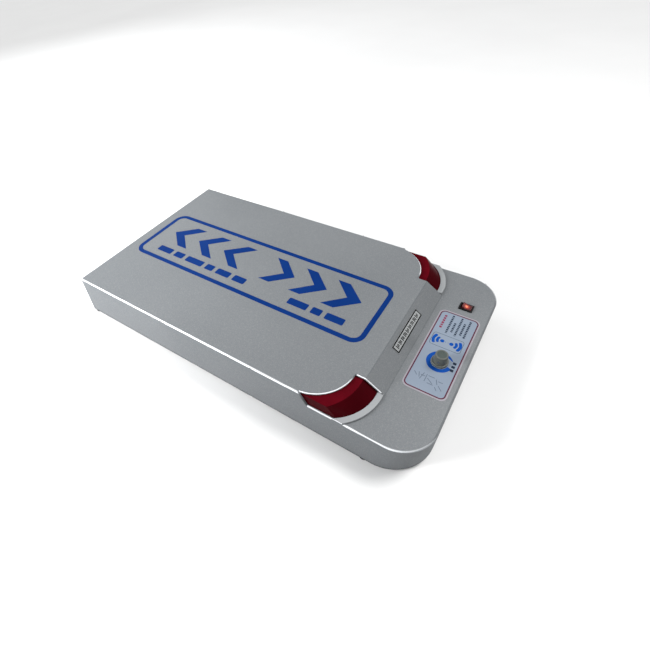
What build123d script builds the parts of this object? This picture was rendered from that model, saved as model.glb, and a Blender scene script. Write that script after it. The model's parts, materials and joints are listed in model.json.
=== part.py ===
from build123d import *
import math
import os

os.makedirs("parts", exist_ok=True)

# ---------------------------------------------------------------------------
# Tabletop detector plate: a low, wide moulded case with a raised detection
# plateau, a sloped step and a lower control deck at its +X end.
# Frame: origin at the centre of the footprint on the table, +Z up,
# +X towards the control deck, -Y the long side with the front lamp.
# All values in millimetres.
# ---------------------------------------------------------------------------
LENGTH = 646.8          # footprint along X at the case's bottom edge
WIDTH = 358.6           # footprint along Y at the case's bottom edge
FOOT_H = 5.0            # rubber feet, which hold the case off the table
SHELL_H = 71.7          # case height from its bottom edge to the plateau
DECK_H = 53.0           # case height from its bottom edge to the control deck
DRAFT_RUN = 6.85        # how far the walls lean in over SHELL_H
WALL = 3.0              # moulded wall
R_LEFT = 4.5            # upright corners at the plateau end
R_RIGHT_LOW = 62.0      # upright corners at the control deck end, at the bottom edge
R_RIGHT_DECK = 50.0     # the same corners at the deck's height
R_TOP = 3.5             # rounded top edge of the plateau
R_DECK = 3.0            # rounded top edge of the deck
SLOPE_TOP_X = 215.4     # where the plateau turns into the slope
SLOPE_BOT_X = 244.0     # where the slope meets the deck

LAMP_Y = -109.0         # inner end of the lamp window in the slope
ARC_A = (140.9, -110.45, 59.5)    # plateau edge round the lamp
ARC_C = (166.4, -115.45, 68.0)    # lamp opening in the deck
CREASE = (134.4, -115.45, 78.0)   # crease between the lens's flat and slope
RIM_W = 9.0             # raised rim round the lamp opening
RIM_H = 2.5
WIN_X_TOP = 149.4       # start of the side window at the plateau
WIN_X_BOT = 162.4       # start of the side window at the deck
LENS_T = 2.5
GAP = 0.3

KNOB_XY = (286.2, -20.5)
KNOB_R = 11.9
KNOB_TOP_R = 8.7
KNOB_H = 17.3           # knob top above the deck
ROCKER_XY = (285.4, 99.4)
BEZEL = (21.0, 15.0)
ROCKER_TILT = 12.0      # half of the rocker's travel, degrees

LABEL_X = (253.4, 314.5)
LABEL_Y = (-80.2, 80.3)
LABEL_R = 9.0
LABEL_T = 0.25

BASE_T = 2.0
JACK_XZ = (225.0, 29.0)

ZB = FOOT_H
ZP = FOOT_H + SHELL_H
ZD = FOOT_H + DECK_H
K = DRAFT_RUN / SHELL_H
HX = LENGTH / 2
HY = WIDTH / 2

nodes = {}


def put(name, shape, color=None):
    """Collect the solids of one named piece."""
    if isinstance(shape, (list, tuple)):
        solids = []
        for s in shape:
            solids += list(s.solids())
    else:
        solids = list(shape.solids())
    nodes[name] = (solids, color)


def cyl(x, y, z0, z1, r):
    return Pos(x, y, (z0 + z1) / 2) * Cylinder(r, z1 - z0)


def cone(x, y, z0, z1, r0, r1):
    return Pos(x, y, (z0 + z1) / 2) * Cone(r0, r1, z1 - z0)


def block(x0, x1, y0, y1, z0, z1):
    return Pos((x0 + x1) / 2, (y0 + y1) / 2, (z0 + z1) / 2) * Box(x1 - x0, y1 - y0, z1 - z0)


def prism(sketch, z0, z1):
    return extrude(Plane.XY.offset(z0) * sketch, amount=z1 - z0)


def disc(x, y, r):
    return Pos(x, y) * Circle(r)


def rect(x0, x1, y0, y1):
    return Pos((x0 + x1) / 2, (y0 + y1) / 2) * Rectangle(x1 - x0, y1 - y0)


def rrect(x0, x1, y0, y1, r):
    return Pos((x0 + x1) / 2, (y0 + y1) / 2) * RectangleRounded(x1 - x0, y1 - y0, r)


def xz_prism(points, y0, y1):
    """Prism over a polygon in X and Z, from y0 to y1."""
    face = make_face(Polyline(*[(p[0], 0, p[1]) for p in points], close=True))
    return extrude(Pos(0, y0, 0) * face, amount=y1 - y0, dir=(0, 1, 0))


def flip(shape):
    """The same piece on the rear side of the object."""
    return mirror(shape, about=Plane.XZ)


def tube(points, r, radii):
    """Round lead along straight runs joined by tangent arcs."""
    path = FilletPolyline(*points, radius=radii)
    start = path @ 0
    tangent = path % 0
    section = Plane(origin=start, z_dir=tangent) * Circle(r)
    return sweep(section, path=path)


def frustum(inset, z0, z1, r_left):
    """Case body between two heights, inset from the outside.
    Three walls lean in; the wall at the control deck end stands upright, and its
    corners tighten towards the top."""
    side = inset * math.sqrt(1 + K * K)
    def ring_at(z):
        x0 = -(HX - K * (z - ZB)) + side
        x1 = HX - inset
        y1 = HY - K * (z - ZB) - side
        r = R_RIGHT_LOW + (R_RIGHT_DECK - R_RIGHT_LOW) * (z - ZB) / DECK_H - inset
        q = r_left
        c = math.sqrt(0.5)
        with BuildLine() as bl:
            Line((x0 + q, -y1), (x1 - r, -y1))
            RadiusArcSafe((x1 - r, -y1), (x1 - r + r * c, -y1 + r - r * c), (x1, -y1 + r))
            Line((x1, -y1 + r), (x1, y1 - r))
            RadiusArcSafe((x1, y1 - r), (x1 - r + r * c, y1 - r + r * c), (x1 - r, y1))
            Line((x1 - r, y1), (x0 + q, y1))
            RadiusArcSafe((x0 + q, y1), (x0 + q - q * c, y1 - q + q * c), (x0, y1 - q))
            Line((x0, y1 - q), (x0, -y1 + q))
            RadiusArcSafe((x0, -y1 + q), (x0 + q - q * c, -y1 + q - q * c), (x0 + q, -y1))
        return Plane.XY.offset(z) * make_face(bl.line)
    return loft([ring_at(z0), ring_at(z1)], ruled=True)


RadiusArcSafe = ThreePointArc


def window_x(z):
    """Left edge of the side window at height z."""
    return WIN_X_TOP + (ZP - z) * (WIN_X_BOT - WIN_X_TOP) / (ZP - ZD)


def wall_y(z, inset):
    return -(HY - K * (z - ZB) - inset)


# --- top cover --------------------------------------------------------------
tan_slope = (SLOPE_BOT_X - SLOPE_TOP_X) / (ZP - ZD)
low = 46.0
slope_cut = xz_prism([(SLOPE_TOP_X, ZP), (SLOPE_TOP_X + (ZP - low) * tan_slope, low),
                      (SLOPE_TOP_X + (ZP - low) * tan_slope, -5), (500, -5), (500, 120), (SLOPE_TOP_X - 6, 120)], -300, 300)
full = frustum(0, ZB, ZP, R_LEFT)
hump = full - slope_cut
crown = [e for e in hump.edges() if e.center().Z > ZP - 0.6]
print("crown edges", len(crown))
try:
    hump = fillet(crown, R_TOP)
    print("crown fillet ok")
except Exception as exc:
    print("crown fillet failed", exc)

win = rect(100, 262, -230, LAMP_Y) - disc(*ARC_A)
win_solid = prism(win, 47.0, 95.0) - xz_prism([(60, 40), (window_x(40), 40), (window_x(100), 100), (60, 100)], -300, 0)
hump = hump - win_solid - flip(win_solid)

slab = frustum(0, ZB, ZD, R_LEFT)
slab_rim = [e for e in slab.edges() if abs(e.center().Z - ZD) < 0.01]
slab = fillet(slab_rim, R_DECK)

ring = prism(disc(ARC_C[0], ARC_C[1], ARC_C[2] + RIM_W) - disc(*ARC_C), 50.0, ZD + RIM_H)
ring = ring & block(ARC_C[0], 262, -230, LAMP_Y, 40, 80)
ring_top = [e for e in ring.edges() if abs(e.center().Z - ZD - RIM_H) < 0.01 and e.geom_type == GeomType.CIRCLE
            and e.bounding_box().size.X > ARC_C[2] + 2]
try:
    ring = fillet(ring_top, 0.9)
except Exception as exc:
    print("ring fillet failed", exc)
ring = ring & full

outer = hump + slab + ring + flip(ring)

in_wall = WALL * math.sqrt(1 + K * K)
inner_full = frustum(WALL, ZB - 3, ZP - WALL, 1.5)
slope_len = math.hypot(SLOPE_BOT_X - SLOPE_TOP_X, ZP - ZD)
off_x = -(ZP - ZD) / slope_len * WALL
off_z = -(SLOPE_BOT_X - SLOPE_TOP_X) / slope_len * WALL
in_top_x = SLOPE_TOP_X + off_x + (WALL + off_z) * tan_slope
in_bot_x = in_top_x + (ZP - ZD) * tan_slope
inner_hump = inner_full - xz_prism([(in_top_x, ZP - WALL), (in_bot_x, ZD - WALL), (in_bot_x, -5), (500, -5), (500, 120), (in_top_x - 4, 120)], -300, 300)
keep = prism(rect(ARC_C[0], 262, -230, LAMP_Y + WALL) - disc(*ARC_C), ZD - WALL, 90)
inner_hump = inner_hump - keep - flip(keep)
inner_deck = inner_full & block(-400, 400, -300, 300, -10, ZD - WALL)
inner = inner_hump + inner_deck
cover = outer - inner

# screw bosses under the cover, each tied to its wall by a rib
BASE_SCREWS = [(-296, -148), (-110, -162), (70, -162), (296, -126),
               (-296, 148), (-110, 162), (70, 162), (296, 126)]
FEET = [(-313.0, -170.4), (249.4, -170.4), (-313.0, 170.4), (249.4, 170.4)]
bosses = []
for x, y in BASE_SCREWS:
    top = ZD - 1.0 if x > 250 else ZP - 1.0
    s = math.copysign(1, y)
    b = cyl(x, y, ZB + BASE_T, top, 4.5)
    y_a, y_b = sorted([y, s * (HY - 4.0)])
    b = b + block(x - 1.2, x + 1.2, y_a, y_b, ZB + BASE_T + 6, top)
    bosses.append(b)
for x, y in FEET:
    s = math.copysign(1, y)
    b = cyl(x, y, ZB + BASE_T, 24.0, 4.2)
    y_a, y_b = sorted([y, s * (HY - 3.0)])
    b = b + block(x - 1.2, x + 1.2, y_a, y_b, ZB + BASE_T, 24.0)
    bosses.append(b)
boss_all = bosses[0]
for b in bosses[1:]:
    boss_all = boss_all + b
boss_all = boss_all & full
cover = cover + boss_all
for x, y in BASE_SCREWS:
    cover = cover - cyl(x, y, ZB + BASE_T - 1, ZB + BASE_T + 14, 1.35)
for x, y in FEET:
    cover = cover - cyl(x, y, ZB + BASE_T - 1, ZB + BASE_T + 14, 1.35)

# deck and wall openings
cover = cover - block(ROCKER_XY[0] - 9.6, ROCKER_XY[0] + 9.6, ROCKER_XY[1] - 6.6, ROCKER_XY[1] + 6.6, ZD - 6, ZD + 2)
cover = cover - cyl(KNOB_XY[0], KNOB_XY[1], ZD - 6, ZD + 2, 3.6)
jack_wall_y = HY - K * (JACK_XZ[1] - ZB)
cover = cover - Pos(JACK_XZ[0], jack_wall_y, JACK_XZ[1]) * Rot(90, 0, 0) * Cylinder(5.6, 20)

# pilot holes for the lens screws, drilled up into the raised rim
LENS_SCREWS = []
for ang in (-14.0, -37.0):
    a = math.radians(ang)
    LENS_SCREWS.append((ARC_C[0] + 72.4 * math.cos(a), ARC_C[1] + 72.4 * math.sin(a)))
for x, y in LENS_SCREWS:
    for s in (1, -1):
        cover = cover - cyl(x, s * y, ZD - 4, ZD + 1.2, 1.05)

# small 45 degree break along the window's cut edge
BRK = 1.1


def edge_break(plane, length):
    tri = make_face(Polyline((0, -BRK), (BRK, 0), (BRK, 1), (-1, 1), (-1, -BRK), close=True))
    return extrude(plane * tri, amount=length)


arc_break = prism(rect(100, 230, -230, LAMP_Y + 0.01), ZP - BRK, ZP + 1.0) - cone(ARC_A[0], ARC_A[1], ZP - BRK, ZP + 1.0, ARC_A[2], ARC_A[2] - BRK - 1.0)
arc_break = arc_break - block(90, WIN_X_TOP - 0.6, -240, 0, 0, 100)
end_break_top = edge_break(Plane(origin=(202, LAMP_Y, ZP), x_dir=(0, 1, 0), z_dir=(1, 0, 0)), SLOPE_TOP_X - 202 + 0.2)
end_break_slope = edge_break(Plane(origin=(SLOPE_TOP_X, LAMP_Y, ZP), x_dir=(0, 1, 0), z_dir=tuple(Vector(SLOPE_BOT_X - SLOPE_TOP_X, 0, ZD - ZP).normalized())), 31.0)
for tool in (arc_break, end_break_top, end_break_slope):
    try:
        trial = cover - tool - flip(tool)
        if trial.is_valid and abs(trial.volume - cover.volume) < 900:
            cover = trial
            print("break ok")
        else:
            print("break rejected", trial.volume - cover.volume)
    except Exception as exc:
        print("break failed", exc)
try:
    toe = [e for e in cover.edges() if abs(e.center().X - SLOPE_BOT_X) < 0.3 and abs(e.center().Z - ZD) < 0.1
           and e.bounding_box().size.Y > 150]
    cover2 = fillet(toe, 3.0)
    if cover2.is_valid:
        cover = cover2
        print("toe fillet ok", len(toe))
except Exception as exc:
    print("toe fillet failed", exc)
put("top_cover", cover, "silver")

# --- base plate, screws, feet ------------------------------------------------
base = frustum(WALL + GAP, ZB, ZB + 30, 1.5) & block(-400, 400, -300, 300, ZB, ZB + BASE_T)
for x, y in BASE_SCREWS + FEET:
    base = base - cyl(x, y, ZB - 1, ZB + BASE_T + 1, 1.9)
TRAY_SCREWS = [(-270, -48), (-270, 48), (-55, -48), (-55, 48), (160, -48), (160, 48)]
PCB_SCREWS = [(202, -62), (202, 62), (306, -62), (306, 62)]
for x, y in TRAY_SCREWS:
    base = base - cyl(x, y, ZB - 1, ZB + BASE_T + 1, 1.9)
for i in range(9):
    for yy in (-100, 100):
        x = -180 + i * 12
        base = base - prism(SlotOverall(34, 4).moved(Location((x, yy, 0), (0, 0, 90))), ZB - 1, ZB + BASE_T + 1)
# rolled stiffening beads
for yy in (-128, 128):
    base = base + prism(rrect(-250, 230, yy - 4, yy + 4, 3.9), ZB + BASE_T - 0.01, ZB + BASE_T + 2.0)
put("base_plate", base, "zinc")


def pan_screw(x, y, z_seat, length, r=1.45, head_r=3.1, head_h=1.9, down=True):
    """Cross-recessed pan-head screw; its head sits below z_seat and the shank goes up."""
    head = cyl(x, y, z_seat - head_h, z_seat, head_r)
    head = fillet([e for e in head.edges() if abs(e.center().Z - (z_seat - head_h)) < 0.01], 0.29 * head_r)
    shank = cyl(x, y, z_seat - 0.01, z_seat + length, r)
    tip = cone(x, y, z_seat + length - 0.01, z_seat + length + 1.5, r, 0.4)
    s = head + shank + tip
    s = s - block(x - 1.7, x + 1.7, y - 0.35, y + 0.35, z_seat - head_h - 0.1, z_seat - head_h + 1.1)
    s = s - block(x - 0.35, x + 0.35, y - 1.7, y + 1.7, z_seat - head_h - 0.1, z_seat - head_h + 1.1)
    return s


put("base_screws", [pan_screw(x, y, ZB, 12.0, r=1.35) for x, y in BASE_SCREWS], "zinc")
feet = []
foot_screws = []
for x, y in FEET:
    f = cone(x, y, 0, ZB, 8.4, 8.9)
    f = fillet([e for e in f.edges() if abs(e.center().Z) < 0.01], 0.8)
    f = f - cyl(x, y, -1, 2.6, 3.9) - cyl(x, y, -1, ZB + 1, 1.9)
    feet.append(f)
    foot_screws.append(pan_screw(x, y, 2.6, 14.0, r=1.35))
put("rubber_feet", feet, "rubber")
put("foot_screws", foot_screws, "zinc")

# --- lamps -------------------------------------------------------------------
def lens_form(t):
    """Lamp form inset by t: a sloped wrap-round crown behind the side wall."""
    z1 = ZP - WALL - GAP - t
    z2 = ZD + 1.8 - t
    crown_part = loft([Plane.XY.offset(z2) * disc(ARC_C[0], ARC_C[1], ARC_C[2] - GAP - t),
                       Plane.XY.offset(z1) * disc(CREASE[0], CREASE[1], CREASE[2] - t)], ruled=True)
    foot_part = cyl(ARC_C[0], ARC_C[1], 48.0 - t, z2, ARC_C[2] - GAP - t)
    body = crown_part + foot_part
    zz0, zz1 = 40.0, 90.0
    y0 = wall_y(zz0, in_wall + GAP + t)
    y1 = wall_y(zz1, in_wall + GAP + t)
    slab_y = extrude(make_face(Polyline((0, y0, zz0), (0, LAMP_Y + 4.0 + t, zz0), (0, LAMP_Y + 4.0 + t, zz1), (0, y1, zz1), close=True)),
                     amount=400, dir=(1, 0, 0))
    return body & slab_y & block(141.0 - t, 300, -300, 0, 0, 100)


lens = lens_form(0) - lens_form(LENS_T) - cyl(ARC_A[0], ARC_A[1], 0, 100, ARC_A[2] - 5.5) - block(0, 400, -300, 0, 0, ZD - WALL - 2.8)
flange_z1 = ZD - WALL - GAP
flange_z0 = ZD - WALL - 2.8
flange = prism((disc(ARC_C[0], ARC_C[1], 77.5) - disc(ARC_C[0], ARC_C[1], ARC_C[2] - GAP - LENS_T)) & rect(ARC_C[0] + 4, 262, -230, LAMP_Y - 1.0),
               flange_z0, flange_z1)
flange = flange & frustum(WALL + GAP, ZB, ZD, 1.5)
lens = lens + flange
for x, y in LENS_SCREWS:
    lens = lens - cyl(x, y, 40, 60, 1.4)
put("front_lamp_lens", lens, "red")
put("rear_lamp_lens", flip(lens), "red")

refl = prism(disc(ARC_C[0], ARC_C[1], 77.5) & rect(152, 262, -230, LAMP_Y - 1.0), flange_z0 - 2.2, flange_z0)
refl = refl & frustum(WALL + GAP, ZB, ZD, 1.5)
lead_hole = (204.1, -141.8)
refl = refl - cyl(lead_hole[0], lead_hole[1], 40, 60, 4.0)
lamp_screws = []
for x, y in LENS_SCREWS:
    refl = refl - cyl(x, y, 40, 60, 1.4)
    lamp_screws.append(pan_screw(x, y, flange_z0 - 2.2, 6.6, r=1.0, head_r=2.6, head_h=1.6))
    lamp_screws.append(pan_screw(x, -y, flange_z0 - 2.2, 6.6, r=1.0, head_r=2.6, head_h=1.6))
put("front_lamp_reflector", refl, "white")
put("rear_lamp_reflector", flip(refl), "white")
put("lens_screws", lamp_screws, "zinc")


def sector(r0, r1, a0, a1):
    """Ring sector about the lamp opening's centre."""
    pts = [(0, 0)]
    n = 12
    for i in range(n + 1):
        a = math.radians(a0 + (a1 - a0) * i / n)
        pts.append((200 * math.cos(a), 200 * math.sin(a)))
    wedge = make_face(Polyline(*pts, close=True))
    return Pos(ARC_C[0], ARC_C[1]) * ((Circle(r1) - Circle(r0)) & wedge)


board = prism(sector(38, 54, -73, -5), flange_z0, flange_z0 + 1.6)
leds = []
for i in range(8):
    a = math.radians(-67 + i * 8.1)
    x = ARC_C[0] + 47 * math.cos(a)
    y = ARC_C[1] + 47 * math.sin(a)
    z0 = flange_z0 + 1.6
    led = cyl(x, y, z0, z0 + 1.0, 2.9) + cyl(x, y, z0, z0 + 5.0, 2.5) + Pos(x, y, z0 + 5.0) * Sphere(2.5)
    leds.append(led)
put("front_lamp_board", board, "pcb")
put("rear_lamp_board", flip(board), "pcb")
put("front_lamp_leds", leds, "led")
put("rear_lamp_leds", [flip(s) for s in leds], "led")

# --- labels and printed film --------------------------------------------------
label = prism(rrect(LABEL_X[0], LABEL_X[1], LABEL_Y[0], LABEL_Y[1], LABEL_R), ZD, ZD + LABEL_T)
label = label - cyl(KNOB_XY[0], KNOB_XY[1], ZD - 1, ZD + 1, 3.7)
put("panel_label", label, "label")

slope_dir = Vector(SLOPE_BOT_X - SLOPE_TOP_X, 0, ZD - ZP).normalized()
slope_nrm = Vector(ZP - ZD, 0, SLOPE_BOT_X - SLOPE_TOP_X).normalized()
plate_c = Vector(SLOPE_TOP_X, 2.2, ZP) + slope_dir * 14.6
plate_plane = Plane(origin=plate_c, x_dir=slope_dir, z_dir=slope_nrm)
nameplate = extrude(plate_plane * RectangleRounded(14.0, 86.0, 0.8), amount=0.6)
put("slope_nameplate", nameplate, "nameplate")

FILM_T = 0.12
f0, f1 = ZP, ZP + FILM_T
frame_film = prism(rrect(-294.6, 183.2, -64.4, 66.8, 20.0) - rrect(-286.6, 175.2, -56.4, 58.8, 12.5), f0, f1)


def chevron(tip, inner, arm0, arm1, yc, hh):
    """Arrow with its tip at x=tip and its two arms ending between arm0 and arm1."""
    pts = [(tip, yc), (arm0, yc + hh), (arm1, yc + hh), (inner, yc), (arm1, yc - hh), (arm0, yc - hh)]
    return prism(make_face(Polyline(*pts, close=True)), f0, f1)


chevrons = []
for i in range(3):
    chevrons.append(chevron(-260.6 + 62.5 * i, -236.6 + 62.0 * i, -226.6 + 63.0 * i, -203.6 + 62.5 * i, 13.5, 30.0))
    chevrons.append(chevron(21.9 + 62.5 * i, -0.6 + 61.0 * i, -11.6 + 62.0 * i - 0.0, -33.1 + 61.3 * i, 13.5, 30.0))

# plain rounded bars where a caption would be printed
bars = []
def caption(x0, x1, widths, y0, h):
    total = sum(widths)
    gap = ((x1 - x0) - total) / (len(widths) - 1)
    x = x0
    for w in widths:
        bars.append(prism(rrect(x, x + w, y0, y0 + h, 2.2), f0, f1))
        x += w + gap
caption(-254.0, -46.0, [34.0, 22.0, 40.0, 18.0, 30.0, 26.0], -43.0, 13.5)
caption(42.5, 143.0, [36.0, 18.0, 32.0], -43.0, 13.5)
put("area_graphic_film", [frame_film] + chevrons + bars, "blue")

# --- rocker switch -------------------------------------------------------------
RX, RY = ROCKER_XY
PIV_Z = ZD - 1.0
bz0, bz1 = ZD, ZD + 2.0
bezel = prism(rrect(RX - BEZEL[0] / 2, RX + BEZEL[0] / 2, RY - BEZEL[1] / 2, RY + BEZEL[1] / 2, 0.8), bz0, bz1)
bezel = fillet([e for e in bezel.edges() if abs(e.center().Z - bz1) < 0.01], 0.6)
sw_bottom = ZD - 17.0
sw = bezel + block(RX - 9.5, RX + 9.5, RY - 6.5, RY + 6.5, sw_bottom, ZD + 0.1)
sw = sw - block(RX - 8.5, RX + 8.5, RY - 5.6, RY + 5.6, sw_bottom + 1.6, bz1 + 1)
for s in (-1, 1):
    sw = sw - Pos(RX, RY + s * 5.8, PIV_Z) * Rot(90, 0, 0) * Cylinder(1.06, 0.8)
# snap ramps on the short sides, just under the panel
for s in (-1, 1):
    ramp = xz_prism([(RX + s * 9.5, ZD - WALL - 0.2), (RX + s * 10.6, ZD - WALL - 0.6), (RX + s * 9.5, ZD - WALL - 6.0)], RY - 3, RY + 3)
    sw = sw + ramp
put("switch_body", sw, "black")

tilt = ROCKER_TILT
half = 7.3
prof = [(-7.5, 0.6), (-7.3, 4.9), (0.0, 3.5), (7.3, 4.9), (7.5, 0.6), (4.2, -4.2), (1.6, -5.6), (-1.6, -5.6), (-4.2, -4.2)]
rk = xz_prism([(RX + px, PIV_Z + pz) for px, pz in prof], RY - 5.3, RY + 5.3)
rk = fillet([e for e in rk.edges() if e.bounding_box().size.Y > 10 and e.center().Z > PIV_Z + 3], 0.5)
rk = rk - block(RX - 2.2, RX + 2.2, RY - 3.0, RY + 3.0, PIV_Z - 6.5, PIV_Z + 1.2)
for s in (-1, 1):
    rk = rk + Pos(RX, RY + s * 5.6, PIV_Z) * Rot(90, 0, 0) * Cylinder(1.0, 0.9)
plunger = cyl(RX, RY, PIV_Z - 9.0, PIV_Z - 2.6, 1.3) + Pos(RX, RY, PIV_Z - 9.0) * Sphere(1.3)
plunger = plunger & block(RX - 2, RX + 2, RY - 2, RY + 2, PIV_Z - 9.6, PIV_Z)
spring_r = cyl(RX, RY, PIV_Z - 2.6, PIV_Z + 1.2, 1.5) - cyl(RX, RY, PIV_Z - 3, PIV_Z + 2, 0.9)
lamp_in = cyl(RX + 4.6, RY, PIV_Z - 1.8, PIV_Z + 1.4, 1.6)
rk = rk - cyl(RX + 4.6, RY, PIV_Z - 4.5, PIV_Z + 1.4, 1.6)
turn = lambda s: s.rotate(Axis((RX, RY, PIV_Z), (0, 1, 0)), tilt)
put("rocker", turn(rk), "rocker")
put("rocker_plunger", turn(plunger), "brass")
put("rocker_spring", turn(spring_r), "steel")
put("rocker_glow_lamp", turn(lamp_in), "lamp")

LEV_Z = PIV_Z - 10.8
LEV_RATIO = -0.6
lev = block(RX - 6.2, RX + 6.2, RY - 2.0, RY + 2.0, LEV_Z - 0.4, LEV_Z + 0.4)
lev = lev + block(RX + 4.4, RX + 6.2, RY - 1.2, RY + 1.2, LEV_Z - 1.0, LEV_Z - 0.3)
lev = lev.rotate(Axis((RX, RY, LEV_Z), (0, 1, 0)), tilt * LEV_RATIO)
lev = lev + Pos(RX, RY, LEV_Z) * Rot(90, 0, 0) * Cylinder(0.7, 4.4)
put("contact_lever", lev, "brass")

floor_z = sw_bottom + 1.6
terms = []
common = block(RX - 0.5, RX + 0.5, RY - 2.4, RY + 2.4, sw_bottom - 8.0, LEV_Z - 1.05)
common = common - cyl(RX, RY, sw_bottom - 6.5, sw_bottom - 6.4, 0.1)
fixed = block(RX + 4.9, RX + 5.7, RY - 2.4, RY + 2.4, sw_bottom - 8.0, LEV_Z - 2.2)
third = block(RX - 5.7, RX - 4.9, RY - 2.4, RY + 2.4, sw_bottom - 8.0, LEV_Z - 2.2)
terms = [common, fixed, third]
term_cut = terms[0] + terms[1] + terms[2]
nodes["switch_body"] = ([s for s in (sw - term_cut).solids()], "black")
put("switch_terminals", terms, "brass")

# --- potentiometer and knob ------------------------------------------------------
KX, KY = KNOB_XY
pz1 = ZD - WALL
pz0 = pz1 - 9.0
pot = cyl(KX, KY, pz0, pz1, 8.2) - cyl(KX, KY, pz0 + 1.2, pz1 - 1.2, 7.2) - cyl(KX, KY, pz0 + 1, pz1 + 1, 3.45)
pot = pot + block(KX - 6.5, KX + 6.5, KY - 12.5, KY - 7.6, pz0, pz0 + 1.6)
put("pot_housing", pot, "pot")
bush = cyl(KX, KY, pz1 - 1.2, ZD + 4.2, 3.45) - cyl(KX, KY, pz1 - 3, ZD + 6, 3.06)
put("pot_bushing", bush, "zinc")
wash = cyl(KX, KY, ZD + LABEL_T, ZD + LABEL_T + 0.5, 5.9) - cyl(KX, KY, ZD, ZD + 2, 3.5)
put("pot_washer", wash, "zinc")
nut = prism(Pos(KX, KY) * RegularPolygon(5.6, 6), ZD + LABEL_T + 0.5, ZD + LABEL_T + 2.5) - cyl(KX, KY, ZD, ZD + 5, 3.48)
put("pot_nut", nut, "zinc")
terms_p = []
for dx in (-4.5, 0, 4.5):
    terms_p.append(block(KX + dx - 1.0, KX + dx + 1.0, KY - 17.5, KY - 9.0, pz0 + 1.6, pz0 + 2.0))
put("pot_terminals", terms_p, "brass")
track = cyl(KX, KY, pz0 + 1.2, pz0 + 1.7, 6.9) - cyl(KX, KY, pz0, pz0 + 3, 4.4)
put("pot_track", track, "dark")
shaft = cyl(KX, KY, pz0 + 2.4, ZD + 14.5, 3.0) + cyl(KX, KY, pz1 - 2.6, pz1 - 1.5, 4.4)
shaft = shaft - block(KX + 1.6, KX + 4, KY - 4, KY + 4, ZD + 5.5, ZD + 20)
put("pot_shaft", shaft, "zinc")
wiper = cyl(KX, KY, pz0 + 3.6, pz0 + 4.6, 6.6) - cyl(KX, KY, pz0, pz1, 3.0)
wiper = wiper + block(KX - 1.0, KX + 1.0, KY + 4.8, KY + 6.4, pz0 + 2.0, pz0 + 3.7)
put("pot_wiper", wiper, "brass")

kz0 = ZD + 0.7
kz1 = ZD + KNOB_H
skirt_h = 3.2
kb = cyl(KX, KY, kz0, kz0 + skirt_h, KNOB_R)
kb = fillet([e for e in kb.edges() if abs(e.center().Z - kz0 - skirt_h) < 0.01], 1.4)
kb = kb + cone(KX, KY, kz0 + 0.5, kz1, 9.9, KNOB_TOP_R)
kb = fillet([e for e in kb.edges() if abs(e.center().Z - kz1) < 0.01], 0.9)
grooves = None
for i in range(20):
    a = math.radians(i * 18 + 9)
    g = cone(KX + 10.35 * math.cos(a), KY + 10.35 * math.sin(a), kz0 + skirt_h + 0.2, kz1 + 1, 0.95, 1.45)
    grooves = g if grooves is None else grooves + g
kb = kb - grooves
kb = kb - cyl(KX, KY, kz0 - 1, ZD + 5.0, 7.2)
d_bore = cyl(KX, KY, kz0 - 1, ZD + 14.7, 3.0) - block(KX + 1.6, KX + 4, KY - 4, KY + 4, ZD + 5.8, ZD + 20)
kb = kb - d_bore
kb = kb - cyl(KX, KY, kz1 - 0.8, kz1 + 1, 6.6)
kb = kb - Pos(KX, KY - 6.0, ZD + 8.5) * Rot(90, 0, 0) * Cylinder(1.25, 12.0)
put("knob_body", kb, "knob")
cap = cyl(KX, KY, kz1 - 0.8, kz1 - 0.1, 6.55)
cap = cap - block(KX - 0.5, KX + 0.5, KY + 1.5, KY + 7, kz1 - 0.5, kz1 + 1)
put("knob_cap", cap, "knobcap")
setscrew = Pos(KX, KY - 6.1, ZD + 8.5) * Rot(90, 0, 0) * Cylinder(1.2, 6.0)
setscrew = setscrew - Pos(KX, KY - 9.1, ZD + 8.5) * Rot(90, 0, 0) * Cylinder(0.6, 2.0)
put("knob_set_screw", setscrew, "steel")

# --- detection head under the plateau ------------------------------------------
tz = 30.0
tray = block(-292, 182, -58, 58, tz, tz + 2.5)
tray = tray + (block(-292, 182, -58, 58, tz, tz + 14) - block(-289.5, 179.5, -55.5, 55.5, tz + 2, tz + 20))
for x, y in TRAY_SCREWS:
    tray = tray + cyl(x, y, ZB + BASE_T, tz + 4, 4.5)
for x, y in TRAY_SCREWS:
    tray = tray - cyl(x, y, ZB, ZB + 16, 1.35)
put("sensor_tray", tray, "tray")
put("tray_screws", [pan_screw(x, y, ZB, 12.0, r=1.35) for x, y in TRAY_SCREWS], "zinc")
mags = []
for i in range(6):
    for yy in (-32, 32):
        x0 = -278 + i * 76
        m = block(x0, x0 + 70, yy - 11, yy + 11, tz + 2.5, tz + 12.5)
        mags.append(fillet(m.edges().filter_by(Axis.Z), 1.0))
put("sensor_magnets", mags, "ferrite")
cores = [block(x0 + 10, x1 - 10, -3.0, 3.0, tz + 2.5, tz + 30) for x0, x1 in ((-278, -62), (-48, 168))]
put("sensor_core_bars", cores, "steel")
formers = []
coils = []
for x0, x1 in ((-278, -62), (-48, 168)):
    body = prism(rrect(x0, x1, -14, 14, 12), tz + 14.5, tz + 30) - block(x0 + 9, x1 - 9, -3.2, 3.2, tz, tz + 40)
    gutter = prism(rrect(x0 - 1, x1 + 1, -15, 15, 13) - rrect(x0 + 4, x1 - 4, -10, 10, 8), tz + 17, tz + 27.5)
    body = body - gutter
    formers.append(body)
    coils.append(prism(rrect(x0 + 1, x1 - 1, -13, 13, 11) - rrect(x0 + 4, x1 - 4, -10, 10, 8), tz + 17, tz + 27.5))
legs = []
for x0, x1 in ((-278, -62), (-48, 168)):
    for xx in (x0 + 16, x1 - 16):
        for yy in (-7.5, 7.5):
            legs.append(block(xx - 3, xx + 3, yy - 2.5, yy + 2.5, tz + 2.5, tz + 14.6))
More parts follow.
